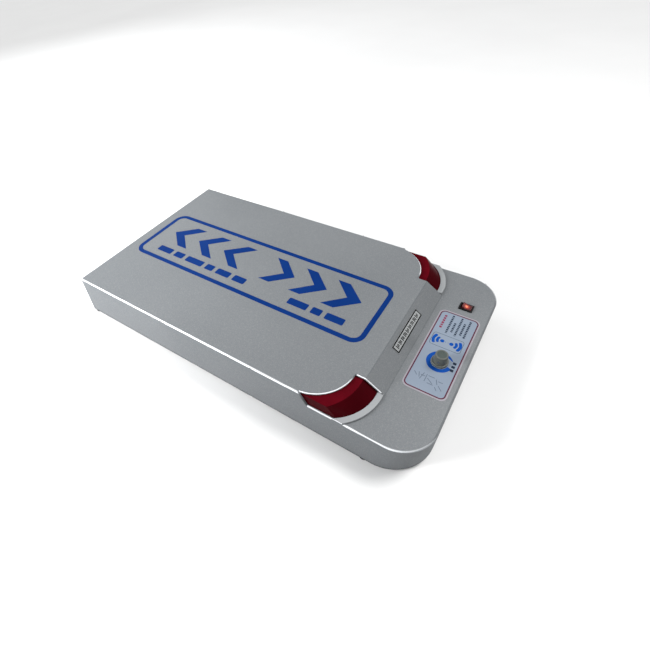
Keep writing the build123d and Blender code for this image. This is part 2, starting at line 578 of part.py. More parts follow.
form_all = formers[0] + formers[1]
for l in legs:
    form_all = form_all + l
put("coil_formers", form_all, "former")
put("sensor_coils", coils, "copper")

# --- main circuit board under the control deck ------------------------------------
PB_Z = 17.0
pcb = prism(rrect(194, 312, -70, 70, 2.5), PB_Z, PB_Z + 1.6)
for x, y in PCB_SCREWS:
    pcb = pcb - cyl(x, y, 0, 40, 1.7)
put("main_circuit_board", pcb, "pcb")
stand = []
p_scr = []
for x, y in PCB_SCREWS:
    stand.append(prism(Pos(x, y) * RegularPolygon(3.2, 6), ZB + BASE_T, PB_Z) - cyl(x, y, ZB + BASE_T + 2, PB_Z + 1, 1.25))
    sc = cyl(x, y, PB_Z + 1.6, PB_Z + 3.2, 2.7) + cyl(x, y, PB_Z - 5, PB_Z + 1.7, 1.25)
    sc = sc - block(x - 1.6, x + 1.6, y - 0.35, y + 0.35, PB_Z + 2.3, PB_Z + 4) - block(x - 0.35, x + 0.35, y - 1.6, y + 1.6, PB_Z + 2.3, PB_Z + 4)
    p_scr.append(sc)
put("board_standoffs", stand, "brass")
put("board_screws", p_scr, "zinc")
pt = PB_Z + 1.6
chips = [block(226, 236, -30, 5, pt, pt + 4), block(226, 233.6, 20, 40, pt, pt + 4), block(250, 257.6, -50, -30, pt, pt + 4),
         block(262, 269.6, 20, 40, pt, pt + 4), block(280, 287.6, -50, -30, pt, pt + 4)]
caps = [cyl(212, 40, pt, pt + 16, 6.3), cyl(212, 22, pt, pt + 16, 6.3), cyl(240, -58, pt, pt + 11, 4.0), cyl(252, -58, pt, pt + 11, 4.0),
        cyl(296, 10, pt, pt + 11, 4.0), cyl(296, 22, pt, pt + 11, 4.0), cyl(270, 60, pt, pt + 9, 3.2)]
caps = [fillet([e for e in c.edges() if e.center().Z > pt + 8], 0.6) for c in caps]
put("board_capacitors", caps, "capacitor")
heat = block(232, 262, 52, 54, pt, pt + 16)
for i in range(6):
    heat = heat + block(232 + i * 5.6, 234 + i * 5.6, 53.9, 62, pt, pt + 16)
put("regulator_heat_sink", heat, "aluminium")
put("board_chips", chips + [block(242, 252, 47.5, 52, pt, pt + 14)], "chip")
buzz = cyl(300, -22, pt, pt + 9, 11.5) - cyl(300, -22, pt + 6, pt + 12, 1.5)
buzz = fillet([e for e in buzz.edges() if abs(e.center().Z - pt - 9) < 0.01 and e.bounding_box().size.X > 20], 0.8)
put("buzzer", buzz, "black")
conn = [block(198, 206, -8, 8, pt, pt + 8), block(198, 206, -34, -22, pt, pt + 8), block(198, 206, 46, 56, pt, pt + 8),
        block(262, 276, -66, -58, pt, pt + 8), block(282, 296, 58, 66, pt, pt + 8), block(246, 256, 63, 69.5, pt, pt + 8)]
put("board_connectors", conn, "connector")

# --- power inlet in the rear wall -------------------------------------------------
JX, JZ = JACK_XZ
in_y = HY - K * (JZ - ZB)
def ybar(x, z, y0, y1, r):
    return Pos(x, (y0 + y1) / 2, z) * Rot(90, 0, 0) * Cylinder(r, y1 - y0)
jack = ybar(JX, JZ, in_y - 18.0, in_y + 1.0, 5.4) + ybar(JX, JZ, in_y + 0.68, in_y + 2.1, 6.8)
jack = jack - ybar(JX, JZ, in_y - 10.0, in_y + 3, 2.75)
put("power_inlet_body", jack, "black")
put("power_inlet_pin", ybar(JX, JZ, in_y - 10.0, in_y - 0.6, 1.0), "zinc")
nut_in = extrude(Plane(origin=(JX, in_y - WALL - 0.95, JZ), z_dir=(0, -1, 0)) * RegularPolygon(8.0, 6), amount=2.5)
nut_in = nut_in - ybar(JX, JZ, in_y - 30, in_y + 30, 5.42)
put("power_inlet_nut", nut_in, "zinc")
jt = [block(JX - 3.6, JX - 1.6, in_y - 23, in_y - 18.0, JZ - 0.3, JZ + 0.3), block(JX + 1.6, JX + 3.6, in_y - 23, in_y - 18.0, JZ - 0.3, JZ + 0.3)]
put("power_inlet_tabs", jt, "brass")

# --- internal leads ------------------------------------------------------------------
LEAD_R = 1.5
def lead(name, pts):
    """Bundle lead; each bend's radius is 0.45 of its shorter run over the tangent of half the turn."""
    radii = []
    for i in range(1, len(pts) - 1):
        a = Vector(*pts[i]) - Vector(*pts[i - 1])
        b = Vector(*pts[i + 1]) - Vector(*pts[i])
        ang = a.get_angle(b)
        radii.append(min(a.length, b.length) * 0.45 / math.tan(math.radians(ang) / 2))
    print(name, "radii", [round(r, 1) for r in radii])
    put(name, tube(pts, LEAD_R, radii), "lead")


lead("switch_lead", [(RX - 1, RY, sw_bottom - 8.2), (RX - 2, RY - 1, 26), (RX, RY - 12, 22), (RX + 2.5, RY - 22, 23), (RX + 3.6, RY - 33.2, 23.2)])
lead("dial_lead", [(KX, KY - 18.1, pz0 + 1.8), (KX - 2, KY - 26, 44), (KX - 10, KY - 35, 38), (268.6, -61, 35), (269, -62.3, pt + 8.6)])
lead("coil_lead", [(168.6, -9, tz + 22), (178, -10, 52.5), (188, -7, 47), (194, -3, 38), (201, -0.6, 34.5), (202, 0, pt + 8.7)])
lx, ly = lead_hole
lz = flange_z0
lead("front_lamp_lead", [(lx, ly, lz - 0.2), (204.6, -140.5, 43.5), (204, -130, 38), (207, -114, 36), (208, -98, 36), (204, -82, 38), (204, -62, 38), (201, -41, 36.5), (201.7, -29.5, 35), (202, -28, pt + 8.7)])
lead("rear_lamp_lead", [(lx, -ly, lz - 0.2), (204.6, 140.5, 43.5), (205, 130, 38), (203, 114, 36), (206, 98, 36.5), (204, 82, 38), (201, 66, 36.5), (201.7, 52.5, 35), (202, 51, pt + 8.7)])
lead("inlet_lead", [(JX, in_y - 23.2, JZ), (JX + 1, 140, 27), (JX + 4, 124, 24), (JX + 9, 106, 26), (JX + 16, 90, 32), (249.5, 70, 35), (251, 66.2, pt + 8.8)])

# --- write the pieces ------------------------------------------------------------------
for name, (solids, color) in nodes.items():
    shape = solids[0] if len(solids) == 1 else Compound(children=[Solid(s.wrapped) for s in solids])
    export_step(shape, "parts/" + name + ".step")
print(len(nodes), "nodes written")
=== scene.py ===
import json
import math

import bmesh
import bpy
from mathutils import Matrix, Vector


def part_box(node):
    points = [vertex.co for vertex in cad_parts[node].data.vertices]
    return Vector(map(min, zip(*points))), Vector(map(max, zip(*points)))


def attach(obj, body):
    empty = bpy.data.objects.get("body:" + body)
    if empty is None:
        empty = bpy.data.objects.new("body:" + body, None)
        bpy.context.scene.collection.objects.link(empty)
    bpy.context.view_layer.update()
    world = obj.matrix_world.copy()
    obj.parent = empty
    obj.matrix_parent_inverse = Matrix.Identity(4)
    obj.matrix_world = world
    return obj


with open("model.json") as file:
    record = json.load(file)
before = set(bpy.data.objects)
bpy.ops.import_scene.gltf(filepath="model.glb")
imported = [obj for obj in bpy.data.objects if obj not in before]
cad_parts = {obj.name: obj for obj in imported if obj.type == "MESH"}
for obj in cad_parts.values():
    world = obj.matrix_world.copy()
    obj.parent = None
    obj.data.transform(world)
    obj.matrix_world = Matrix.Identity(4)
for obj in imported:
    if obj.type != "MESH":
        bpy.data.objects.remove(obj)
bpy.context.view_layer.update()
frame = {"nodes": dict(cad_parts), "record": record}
nodes = frame["nodes"]
MM = 0.001

# ---------------------------------------------------------------------------
# small helpers for node materials
# ---------------------------------------------------------------------------


class Tree:
    """A material's node tree, built step by step."""

    def __init__(self, name):
        self.mat = bpy.data.materials.new(name)
        self.mat.use_nodes = True
        self.nt = self.mat.node_tree
        self.bsdf = self.nt.nodes["Principled BSDF"]
        self.coord = self.nt.nodes.new("ShaderNodeTexCoord").outputs["Object"]

    def set(self, **kw):
        for key, value in kw.items():
            sock = self.bsdf.inputs[key.replace("_", " ")]
            if isinstance(value, bpy.types.NodeSocket):
                self.nt.links.new(value, sock)
            elif hasattr(sock.default_value, "__len__") and len(value) == 3:
                sock.default_value = (*value, 1.0)
            else:
                sock.default_value = value
        return self

    def link(self, a, b):
        if isinstance(a, bpy.types.NodeSocket):
            self.nt.links.new(a, b)
        elif hasattr(b.default_value, "__len__") and hasattr(a, "__len__") and len(a) == 3 and len(b.default_value) == 4:
            b.default_value = (*a, 1.0)
        else:
            b.default_value = a

    def scaled(self, vec, scale=(1, 1, 1), loc=(0, 0, 0), rot=(0, 0, 0)):
        n = self.nt.nodes.new("ShaderNodeMapping")
        self.link(vec, n.inputs["Vector"])
        n.inputs["Scale"].default_value = scale
        n.inputs["Location"].default_value = loc
        n.inputs["Rotation"].default_value = rot
        return n.outputs["Vector"]

    def noise(self, scale, detail=2.0, rough=0.5, vec=None, dist=0.0, out="Fac"):
        n = self.nt.nodes.new("ShaderNodeTexNoise")
        self.link(self.coord if vec is None else vec, n.inputs["Vector"])
        n.inputs["Scale"].default_value = scale
        n.inputs["Detail"].default_value = detail
        n.inputs["Roughness"].default_value = rough
        n.inputs["Distortion"].default_value = dist
        return n.outputs[out]

    def voronoi(self, scale, feature="F1", out="Distance", vec=None, rand=1.0):
        n = self.nt.nodes.new("ShaderNodeTexVoronoi")
        n.feature = feature
        self.link(self.coord if vec is None else vec, n.inputs["Vector"])
        n.inputs["Scale"].default_value = scale
        n.inputs["Randomness"].default_value = rand
        return n.outputs[out]

    def wave(self, scale, vec=None, dist=0.0, direction="X"):
        n = self.nt.nodes.new("ShaderNodeTexWave")
        n.bands_direction = direction
        self.link(self.coord if vec is None else vec, n.inputs["Vector"])
        n.inputs["Scale"].default_value = scale
        n.inputs["Distortion"].default_value = dist
        return n.outputs["Fac"]

    def range(self, x, a, b, c=0.0, d=1.0, smooth=False):
        n = self.nt.nodes.new("ShaderNodeMapRange")
        if smooth:
            n.interpolation_type = "SMOOTHSTEP"
        self.link(x, n.inputs["Value"])
        n.inputs["From Min"].default_value = a
        n.inputs["From Max"].default_value = b
        n.inputs["To Min"].default_value = c
        n.inputs["To Max"].default_value = d
        return n.outputs["Result"]

    def math(self, op, a, b=0.0):
        n = self.nt.nodes.new("ShaderNodeMath")
        n.operation = op
        self.link(a, n.inputs[0])
        self.link(b, n.inputs[1])
        return n.outputs[0]

    def mix(self, fac, a, b):
        n = self.nt.nodes.new("ShaderNodeMix")
        n.data_type = "RGBA"
        self.link(fac, n.inputs["Factor"])
        self.link(a, n.inputs[6])
        self.link(b, n.inputs[7])
        return n.outputs[2]

    def xyz(self, vec=None):
        n = self.nt.nodes.new("ShaderNodeSeparateXYZ")
        self.link(self.coord if vec is None else vec, n.inputs[0])
        return n.outputs

    def bump(self, height, strength=0.2, distance=0.001, normal=None):
        n = self.nt.nodes.new("ShaderNodeBump")
        n.inputs["Strength"].default_value = strength
        n.inputs["Distance"].default_value = distance
        self.link(height, n.inputs["Height"])
        if normal is not None:
            self.link(normal, n.inputs["Normal"])
        return n.outputs["Normal"]

    def normal(self):
        """The surface's own normal, as X, Y and Z."""
        n = self.nt.nodes.new("ShaderNodeNewGeometry")
        return self.xyz(n.outputs["Normal"])

    def inside(self, x, a, b, c, d):
        """1 between b and c, fading to 0 at a and d."""
        return self.math("MULTIPLY", self.range(x, a, b, 0.0, 1.0), self.range(x, c, d, 1.0, 0.0))


def silver_paint():
    """Silver metallic paint: fine flakes, orange peel, a few faint rubs, with painted highlights on edges and rim
    tops and painted shade at the slope turns and along the bottom edge.
    """
    t = Tree("silver_metallic_paint")
    flake = t.voronoi(1500.0, out="Color")
    flake_v = t.xyz(flake)[0]
    fine = t.noise(2600.0, 1.0)
    broad = t.noise(5.0, 3.0)
    mid = t.noise(55.0, 4.0)
    base = t.mix(t.range(broad, 0.35, 0.65), (0.132, 0.140, 0.147), (0.144, 0.152, 0.159))
    base = t.mix(t.range(flake_v, 0.62, 1.0, 0.0, 0.35), base, (0.27, 0.28, 0.29))
    base = t.mix(t.range(fine, 0.25, 0.5, 0.16, 0.0), base, (0.07, 0.075, 0.079))
    rub = t.noise(9.0, 6.0, 0.62, vec=t.scaled(t.coord, (1.0, 2.6, 1.0)))
    # painted highlight: rounded and broken edges are painted paler, picked out by their surface normal, so they stay
    # bright from every side
    nx, ny, nz = t.normal()
    x, _, z = t.xyz()
    edge_highlight = t.inside(nz, 0.42, 0.62, 0.90, 0.985)
    flat_y = t.range(t.math("ABSOLUTE", ny), 0.05, 0.14, 1.0, 0.0)
    end_on = t.math("MULTIPLY", t.range(nx, 0.03, 0.08), flat_y)
    edge_highlight = t.math("MULTIPLY", edge_highlight, t.math("SUBTRACT", 1.0, t.math("MULTIPLY", end_on, 1.0)))
    low = t.math("MULTIPLY", t.range(z, 0.0600, 0.0606, 1.0, 0.0), t.range(nx, 0.10, 0.45, 0.0, 0.85))
    edge_highlight = t.math("MULTIPLY", edge_highlight, t.math("SUBTRACT", 1.0, low))
    edge_highlight = t.math("MULTIPLY", edge_highlight, t.math("SUBTRACT", 1.0, t.inside(z, 0.0588, 0.0591, 0.0606, 0.0608)))
    edge_highlight = t.math("MULTIPLY", edge_highlight, t.range(z, 0.0480, 0.0520))
    # painted highlight also on the cut ends of the raised rims, on the long walls
    upright = t.range(t.math("ABSOLUTE", ny), 0.90, 0.97)
    cut = t.math("MULTIPLY", t.inside(x, 0.2000, 0.2008, 0.2164, 0.2172), t.inside(z, 0.0588, 0.0592, 0.0607, 0.0609))
    edge_highlight = t.math("MAXIMUM", edge_highlight, t.math("MULTIPLY", cut, upright))
    # painted highlight: the flat top of the rim round the lamp is painted paler
    rim_highlight = t.math("MULTIPLY", t.inside(z, 0.0602, 0.0604, 0.0606, 0.0608), t.range(nz, 0.985, 0.997))
    base = t.mix(t.math("MULTIPLY", rim_highlight, 0.85), base, (0.285, 0.295, 0.302))
    # noise breaks up the painted edge highlight
    highlight_noise = t.range(t.noise(26.0, 5.0, 0.6), 0.30, 0.62, 0.80, 1.0)
    base = t.mix(t.math("MULTIPLY", edge_highlight, highlight_noise), base, (0.84, 0.86, 0.89))
    # painted shade: the turns at the top and foot of the slope are painted darker, and their metal and coat are
    # turned down, so they stay dull
    slope_turn_shade = t.math("MULTIPLY", t.inside(nz, 0.845, 0.870, 0.990, 0.9985), end_on)
    base = t.mix(t.math("MULTIPLY", slope_turn_shade, 0.24), base, (0.050, 0.054, 0.057))
    shine = t.math("SUBTRACT", 1.0, slope_turn_shade)
    # painted shade: a dark band along the bottom edge, broken up by noise
    bottom_edge_shade = t.math("MULTIPLY", t.range(z, 0.0058, 0.0070, 1.0, 0.0), t.range(t.noise(30.0, 4.0), 0.25, 0.55, 0.55, 0.9))
    base = t.mix(bottom_edge_shade, base, (0.030, 0.031, 0.033))
    rough = t.math("ADD", t.range(mid, 0.3, 0.7, 0.36, 0.42), t.range(rub, 0.55, 0.75, 0.0, 0.07))
    peel = t.noise(420.0, 2.0)
    normal = t.bump(t.math("ADD", peel, t.math("MULTIPLY", fine, 0.35)), 0.10, 0.00025)
    t.set(Base_Color=base, Roughness=rough, Metallic=t.math("MULTIPLY", shine, 0.11), Normal=normal)
    t.bsdf.inputs["Specular IOR Level"].default_value = 0.0
    t.set(Coat_Weight=t.math("MULTIPLY", shine, 0.04), Coat_Roughness=0.28)
    return t.mat


def plastic(name, color, color2, rough=0.45, grain=900.0, bump=0.12, metallic=0.0, spec=0.5, coat=0.0, blotch=18.0):
    t = Tree(name)
    big = t.noise(blotch, 4.0, 0.6)
    g = t.noise(grain, 2.0)
    base = t.mix(t.range(big, 0.3, 0.7), color, color2)
    r = t.math("ADD", t.range(g, 0.3, 0.7, rough - 0.05, rough + 0.06), t.range(big, 0.4, 0.8, -0.02, 0.04))
    t.set(Base_Color=base, Roughness=r, Metallic=metallic, Normal=t.bump(g, bump, 0.0002))
    t.bsdf.inputs["Specular IOR Level"].default_value = spec
    if coat:
        t.set(Coat_Weight=coat, Coat_Roughness=0.12)
    return t.mat


def metal(name, color, color2, rough=0.3, scale=300.0, stretch=(1, 1, 1), bump=0.06):
    t = Tree(name)
    vec = t.scaled(t.coord, stretch)
    g = t.noise(scale, 4.0, 0.6, vec=vec)
    big = t.noise(22.0, 5.0, 0.6)
    base = t.mix(t.range(big, 0.35, 0.7), color, color2)
    t.set(Base_Color=base, Metallic=1.0, Roughness=t.math("ADD", t.range(g, 0.3, 0.7, rough - 0.06, rough + 0.08), t.range(big, 0.4, 0.8, -0.02, 0.05)),
          Normal=t.bump(g, bump, 0.0001))
    return t.mat


def zinc_sheet():
    t = Tree("zinc_sheet")
    cell = t.voronoi(70.0, out="Color")
    v = t.xyz(cell)[0]
    big = t.noise(12.0, 5.0)
    base = t.mix(v, (0.40, 0.41, 0.42), (0.52, 0.53, 0.54))
    base = t.mix(t.range(big, 0.5, 0.8, 0.0, 0.4), base, (0.33, 0.34, 0.35))
    scratch = t.noise(240.0, 5.0, 0.7, vec=t.scaled(t.coord, (1.0, 14.0, 1.0)))
    t.set(Base_Color=base, Metallic=0.9, Roughness=t.range(v, 0.0, 1.0, 0.36, 0.52), Normal=t.bump(scratch, 0.08, 0.0002))
    return t.mat


def rubber():
    t = Tree("foot_rubber")
    g = t.noise(1400.0, 3.0)
    big = t.noise(60.0, 4.0)
    base = t.mix(t.range(big, 0.3, 0.75), (0.005, 0.005, 0.0055), (0.012, 0.0118, 0.0115))
    t.set(Base_Color=base, Roughness=t.range(g, 0.3, 0.7, 0.72, 0.9), Normal=t.bump(g, 0.35, 0.0003))
    t.bsdf.inputs["Specular IOR Level"].default_value = 0.1
    return t.mat


def red_lens():
    """Deep red lamp cover, moulded with fine prisms on the inside."""
    t = Tree("red_lens_plastic")
    prisms = t.wave(190.0, vec=t.scaled(t.coord, (1, 1, 0), rot=(0, 0, 0.7)), dist=0.0)
    big = t.noise(30.0, 3.0)
    base = t.mix(t.range(big, 0.3, 0.7), (0.060, 0.0012, 0.0040), (0.085, 0.0018, 0.0058))
    base = t.mix(t.range(prisms, 0.2, 0.8, 0.0, 0.22), base, (0.036, 0.001, 0.0025))
    # painted shade: faces that are not flat are painted darker, picked out by their surface normal, for the dim
    # hollow behind the lens; the flat band keeps the plain red
    lens_unshaded_band = t.range(t.normal()[2], 0.86, 0.97)
    base = t.mix(lens_unshaded_band, t.mix(0.62, base, (0.012, 0.0004, 0.0008)), base)
    t.set(Base_Color=base, Roughness=t.range(t.noise(700.0, 2.0), 0.3, 0.7, 0.20, 0.28),
          Normal=t.bump(t.math("ADD", t.noise(260.0, 2.0), t.math("MULTIPLY", prisms, 0.25)), 0.05, 0.0003))
    t.set(IOR=1.49, Transmission_Weight=0.0)
    t.bsdf.inputs["Specular IOR Level"].default_value = 0.02
    return t.mat


def led_epoxy():
    t = Tree("led_epoxy")
    z = t.xyz()[2]
    base = t.mix(t.range(t.noise(500.0), 0.3, 0.7), (0.75, 0.10, 0.07), (0.85, 0.16, 0.1))
    t.set(Base_Color=base, Roughness=t.range(t.noise(900.0), 0.3, 0.7, 0.08, 0.16), Transmission_Weight=0.5, IOR=1.5)
    return t.mat


def rocker_red():
    """Translucent red paddle, brightest over the glow lamp at its middle."""
    t = Tree("rocker_lit_red")
    x, y, z = t.xyz()
    dx = t.math("SUBTRACT", x, 0.2854)
    dy = t.math("SUBTRACT", y, 0.0994)
    r2 = t.math("ADD", t.math("MULTIPLY", dx, dx), t.math("MULTIPLY", dy, dy))
    r = t.math("SQRT", r2)
    wob = t.math("MULTIPLY", t.math("SUBTRACT", t.noise(420.0, 2.0), 0.5), 0.0018)
    r = t.math("ADD", r, wob)
    glow = t.range(r, 0.0006, 0.0036, 1.0, 0.0, smooth=True)
    wide = t.range(r, 0.0015, 0.0070, 1.0, 0.0, smooth=True)
    base = t.mix(wide, (0.050, 0.0025, 0.004), (0.20, 0.014, 0.008))
    emis = t.mix(glow, (0.60, 0.030, 0.010), (1.0, 0.34, 0.14))
    t.set(Base_Color=base, Roughness=t.range(t.noise(900.0, 2.0), 0.3, 0.7, 0.16, 0.26), Normal=t.bump(t.noise(600.0, 2.0), 0.05, 0.0002))
    t.set(Emission_Color=emis, Emission_Strength=t.math("ADD", t.math("MULTIPLY", glow, 0.95), t.math("MULTIPLY", wide, 0.16)))
    t.set(Coat_Weight=0.4, Coat_Roughness=0.08)
    return t.mat


def knob_plastic(name, a, b):
    t = Tree(name)
    big = t.noise(90.0, 4.0)
    g = t.noise(1500.0, 3.0)
    # painted highlight: the knob's rounded edges are painted paler, picked out by their surface normal
    edge = t.inside(t.normal()[2], 0.30, 0.50, 0.86, 0.97)
    base = t.mix(t.range(big, 0.3, 0.7), a, b)
    base = t.mix(t.math("MULTIPLY", edge, 0.14), base, (0.20, 0.21, 0.195))
    t.set(Base_Color=base, Roughness=t.range(g, 0.3, 0.7, 0.42, 0.56), Normal=t.bump(g, 0.22, 0.0002))
    t.bsdf.inputs["Specular IOR Level"].default_value = 0.25
    return t.mat


def film(name, a, b, rough=0.3, coat=0.2, spec=0.15):
    t = Tree(name)
    big = t.noise(14.0, 4.0)
    g = t.noise(700.0, 3.0)
    base = t.mix(t.range(big, 0.3, 0.7), a, b)
    t.set(Base_Color=base, Roughness=t.range(g, 0.3, 0.7, rough - 0.05, rough + 0.07), Normal=t.bump(g, 0.06, 0.0002))
    t.bsdf.inputs["Specular IOR Level"].default_value = spec
    t.set(Coat_Weight=coat, Coat_Roughness=0.15)
    return t.mat


def circuit_board():
    t = Tree("circuit_board")
    tr = t.wave(120.0, dist=6.0)
    tr2 = t.voronoi(160.0, feature="DISTANCE_TO_EDGE")
    base = t.mix(t.range(tr2, 0.02, 0.05), (0.02, 0.30, 0.12), (0.012, 0.13, 0.055))
    t.set(Base_Color=base, Roughness=t.range(t.noise(600.0), 0.3, 0.7, 0.28, 0.4), Normal=t.bump(tr2, 0.1, 0.0003))
    return t.mat


def copper_wire():
    t = Tree("copper_winding")
    w = t.wave(900.0, direction="Z", dist=1.0)
    # painted shade: darker in the grooves between the turns, lighter on their crowns, following the bump
    base = t.mix(w, (0.20, 0.055, 0.02), (0.62, 0.24, 0.09))
    t.set(Base_Color=base, Metallic=0.85, Roughness=t.range(t.noise(500.0), 0.3, 0.7, 0.25, 0.4), Normal=t.bump(w, 0.5, 0.0003))
    return t.mat


MATS = {
    "silver_paint": silver_paint(),
    "zinc_sheet": zinc_sheet(),
    "screw_steel": metal("screw_zinc", (0.50, 0.50, 0.50), (0.62, 0.61, 0.58), 0.28, 900.0),
    "foot_rubber": rubber(),
    "red_lens": red_lens(),
    "white_plastic": plastic("white_plastic", (0.70, 0.70, 0.68), (0.78, 0.78, 0.76), 0.4),
    "circuit_board": circuit_board(),
    "led_epoxy": led_epoxy(),
    "panel_film": film("panel_film_pale", (0.225, 0.212, 0.238), (0.250, 0.235, 0.260), 0.32),
    "nameplate_foil": plastic("nameplate_foil", (0.265, 0.275, 0.278), (0.310, 0.320, 0.322), 0.36, 700.0, 0.08, metallic=0.25, spec=0.2),
    "blue_film": film("blue_print", (0.0019, 0.0180, 0.104), (0.0030, 0.0232, 0.123), 0.46, coat=0.0, spec=0.02),
    "black_plastic": plastic("black_nylon", (0.0045, 0.0045, 0.005), (0.009, 0.0085, 0.0085), 0.5, 1600.0, 0.15, spec=0.08),
    "rocker_red": rocker_red(),
    "contact_brass": metal("contact_brass", (0.62, 0.44, 0.17), (0.72, 0.54, 0.25), 0.25, 700.0),
    "dark_plastic": plastic("dark_phenolic", (0.05, 0.04, 0.035), (0.075, 0.06, 0.05), 0.5),
    "plated_metal": metal("nickel_plate", (0.62, 0.61, 0.58), (0.70, 0.69, 0.67), 0.2, 800.0),
    "knob_plastic": knob_plastic("knob_grey_plastic", (0.066, 0.072, 0.066), (0.086, 0.092, 0.084)),
    # painted shade: the cap uses a darker copy of the knob's grey plastic
    "knob_cap_plastic": knob_plastic("knob_cap_shaded_grey_plastic", (0.028, 0.040, 0.037), (0.038, 0.052, 0.047)),
    "tray_plastic": plastic("tray_abs", (0.10, 0.10, 0.11), (0.14, 0.14, 0.15), 0.5),
    "ferrite": plastic("ferrite", (0.045, 0.045, 0.05), (0.08, 0.08, 0.085), 0.6, 500.0, 0.4),
    "core_steel": metal("core_steel", (0.22, 0.22, 0.23), (0.32, 0.32, 0.33), 0.4, 900.0, (1, 20, 20)),
    "copper_wire": copper_wire(),
    "chip_epoxy": plastic("chip_epoxy", (0.015, 0.015, 0.016), (0.03, 0.03, 0.032), 0.5, 1200.0, 0.2),
    "capacitor_sleeve": plastic("capacitor_sleeve", (0.012, 0.02, 0.09), (0.02, 0.03, 0.13), 0.25),
    "heat_sink": metal("heat_sink", (0.5, 0.51, 0.52), (0.6, 0.61, 0.62), 0.35, 500.0, (12, 1, 1)),
    "lead_pvc": plastic("lead_pvc", (0.03, 0.03, 0.032), (0.055, 0.055, 0.06), 0.4),
}
slot_of = {s["node"]: s["material_slot"] for s in frame["record"]["subparts"]}
for name, obj in nodes.items():
    m = MATS[slot_of[name]]
    if not obj.material_slots:
        obj.data.materials.append(m)
    for i, s in enumerate(obj.material_slots):
        s.material = m

# ---------------------------------------------------------------------------
# thin printed pieces: flat outlines given a small thickness, with rounded rims
# ---------------------------------------------------------------------------
INK = 0.05 * MM


def flat_piece(name, outlines, z0, t, mat, body="housing", place=None):
    """Thin plate over each outline (a list of XY points in millimetres, counter-clockwise).
    An outline may be a pair (outer, inner) for a closed line."""
    bm = bmesh.new()

    def prism(pts):
        low = [bm.verts.new((x * MM, y * MM, z0)) for x, y in pts]
        top = [bm.verts.new((x * MM, y * MM, z0 + t)) for x, y in pts]
        n = len(pts)
        bm.faces.new(list(reversed(low)))
        bm.faces.new(top)
        for i in range(n):
            bm.faces.new((low[i], low[(i + 1) % n], top[(i + 1) % n], top[i]))

    def band(outer, inner):
        n = len(outer)
        lo = [bm.verts.new((x * MM, y * MM, z0)) for x, y in outer]
        li = [bm.verts.new((x * MM, y * MM, z0)) for x, y in inner]
        to = [bm.verts.new((x * MM, y * MM, z0 + t)) for x, y in outer]
        ti = [bm.verts.new((x * MM, y * MM, z0 + t)) for x, y in inner]
        for i in range(n):
            j = (i + 1) % n
            bm.faces.new((to[i], to[j], ti[j], ti[i]))
            bm.faces.new((lo[j], lo[i], li[i], li[j]))
            bm.faces.new((lo[i], lo[j], to[j], to[i]))
            bm.faces.new((li[j], li[i], ti[i], ti[j]))

    for o in outlines:
        if isinstance(o, tuple):
            band(*o)
        else:
            prism(o)
    bmesh.ops.recalc_face_normals(bm, faces=bm.faces)
    me = bpy.data.meshes.new(name)
    bm.to_mesh(me)
    bm.free()
    ob = bpy.data.objects.new(name, me)
    bpy.context.scene.collection.objects.link(ob)
    if place is not None:
        me.transform(place)
    me.materials.append(mat)
    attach(ob, body)
    return ob


def rounded(x0, x1, y0, y1, r, n=8):
    pts = []
    for cx, cy, a0 in ((x1 - r, y1 - r, 0), (x0 + r, y1 - r, 90), (x0 + r, y0 + r, 180), (x1 - r, y0 + r, 270)):
        for i in range(n + 1):
            a = math.radians(a0 + 90.0 * i / n)
            pts.append((cx + r * math.cos(a), cy + r * math.sin(a)))
    return pts


def rounded_band(x0, x1, y0, y1, r, w, n=10):
    return (rounded(x0, x1, y0, y1, r, n), rounded(x0 + w, x1 - w, y0 + w, y1 - w, max(r - w, 0.05), n))


def circle(x, y, r, n=40):
    return [(x + r * math.cos(2 * math.pi * i / n), y + r * math.sin(2 * math.pi * i / n)) for i in range(n)]


def arc_bar(cx, cy, r0, r1, a0, a1, n=14):
    """Curved bar between two radii, with round ends."""
    pts = []
    rm, w = (r0 + r1) / 2, (r1 - r0) / 2
    for i in range(n + 1):
        a = math.radians(a0 + (a1 - a0) * i / n)
        pts.append((cx + r1 * math.cos(a), cy + r1 * math.sin(a)))
    for i in range(1, 6):
        a = math.radians(a1)
        b = a + math.pi * i / 6
        pts.append((cx + rm * math.cos(a) + w * math.cos(b), cy + rm * math.sin(a) + w * math.sin(b)))
    for i in range(n + 1):
        a = math.radians(a1 + (a0 - a1) * i / n)
        pts.append((cx + r0 * math.cos(a), cy + r0 * math.sin(a)))
    for i in range(1, 6):
        a = math.radians(a0)
        b = a + math.pi + math.pi * i / 6
        pts.append((cx + rm * math.cos(a) + w * math.cos(b), cy + rm * math.sin(a) + w * math.sin(b)))
    return pts


def ink(name, a, b, rough=0.45):
    return film(name, a, b, rough, 0.0, 0.02)


INK_BLUE_FIELD = ink("label_field_blue", (0.174, 0.209, 0.260), (0.191, 0.227, 0.281))
INK_RED = ink("label_line_red", (0.066, 0.016, 0.032), (0.084, 0.022, 0.040))
INK_DARK = ink("label_dark_ink", (0.010, 0.017, 0.032), (0.020, 0.029, 0.048))
INK_GREY = ink("label_grey_ink", (0.062, 0.090, 0.115), (0.085, 0.112, 0.140))
INK_PALE = ink("label_pale_ink", (0.070, 0.082, 0.112), (0.090, 0.100, 0.130))
INK_BLUE = ink("label_blue_ink", (0.0046, 0.046, 0.230), (0.0060, 0.056, 0.265))
INK_BLACK = ink("nameplate_black_ink", (0.004, 0.004, 0.005), (0.009, 0.009, 0.009))
INK_HEAD = ink("label_heading_red", (0.150, 0.022, 0.050), (0.185, 0.032, 0.062))

label_lo, label_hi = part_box("panel_label")
LZ = label_hi[2]
OX, OY = -316.6, -172.45          # from the case's corner to the centre of its footprint


def P(x, y):
    return (x + OX, y + OY)


def area(x0, x1, y0, y1, r):
    a, b = P(x0, y0), P(x1, y1)
    return (a[0], b[0], a[1], b[1], r)


